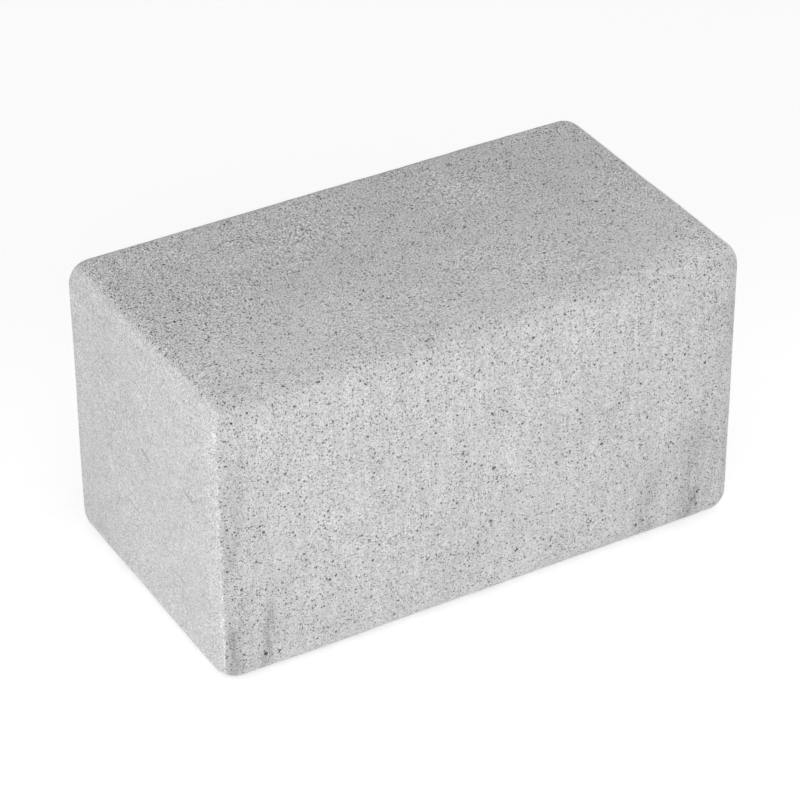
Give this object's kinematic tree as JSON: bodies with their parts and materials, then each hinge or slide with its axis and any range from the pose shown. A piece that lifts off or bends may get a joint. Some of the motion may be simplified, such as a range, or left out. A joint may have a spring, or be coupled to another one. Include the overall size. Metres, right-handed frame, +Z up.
{
  "type": "floral foam brick",
  "caption": "Rectangular block of light, rigid, fine-pored foam with softly rounded edges, which holds cut flower stems pushed into any face.",
  "frame": {"origin": "centre of the base, where the brick stands", "axes": "+X along the length, +Y along the width, +Z up through the top face"},
  "size_m": [0.2, 0.11, 0.108],
  "materials": {
    "foam": "matte"
  },
  "bodies": {
    "root": {"foam_brick": "foam"}
  },
  "joints": []
}
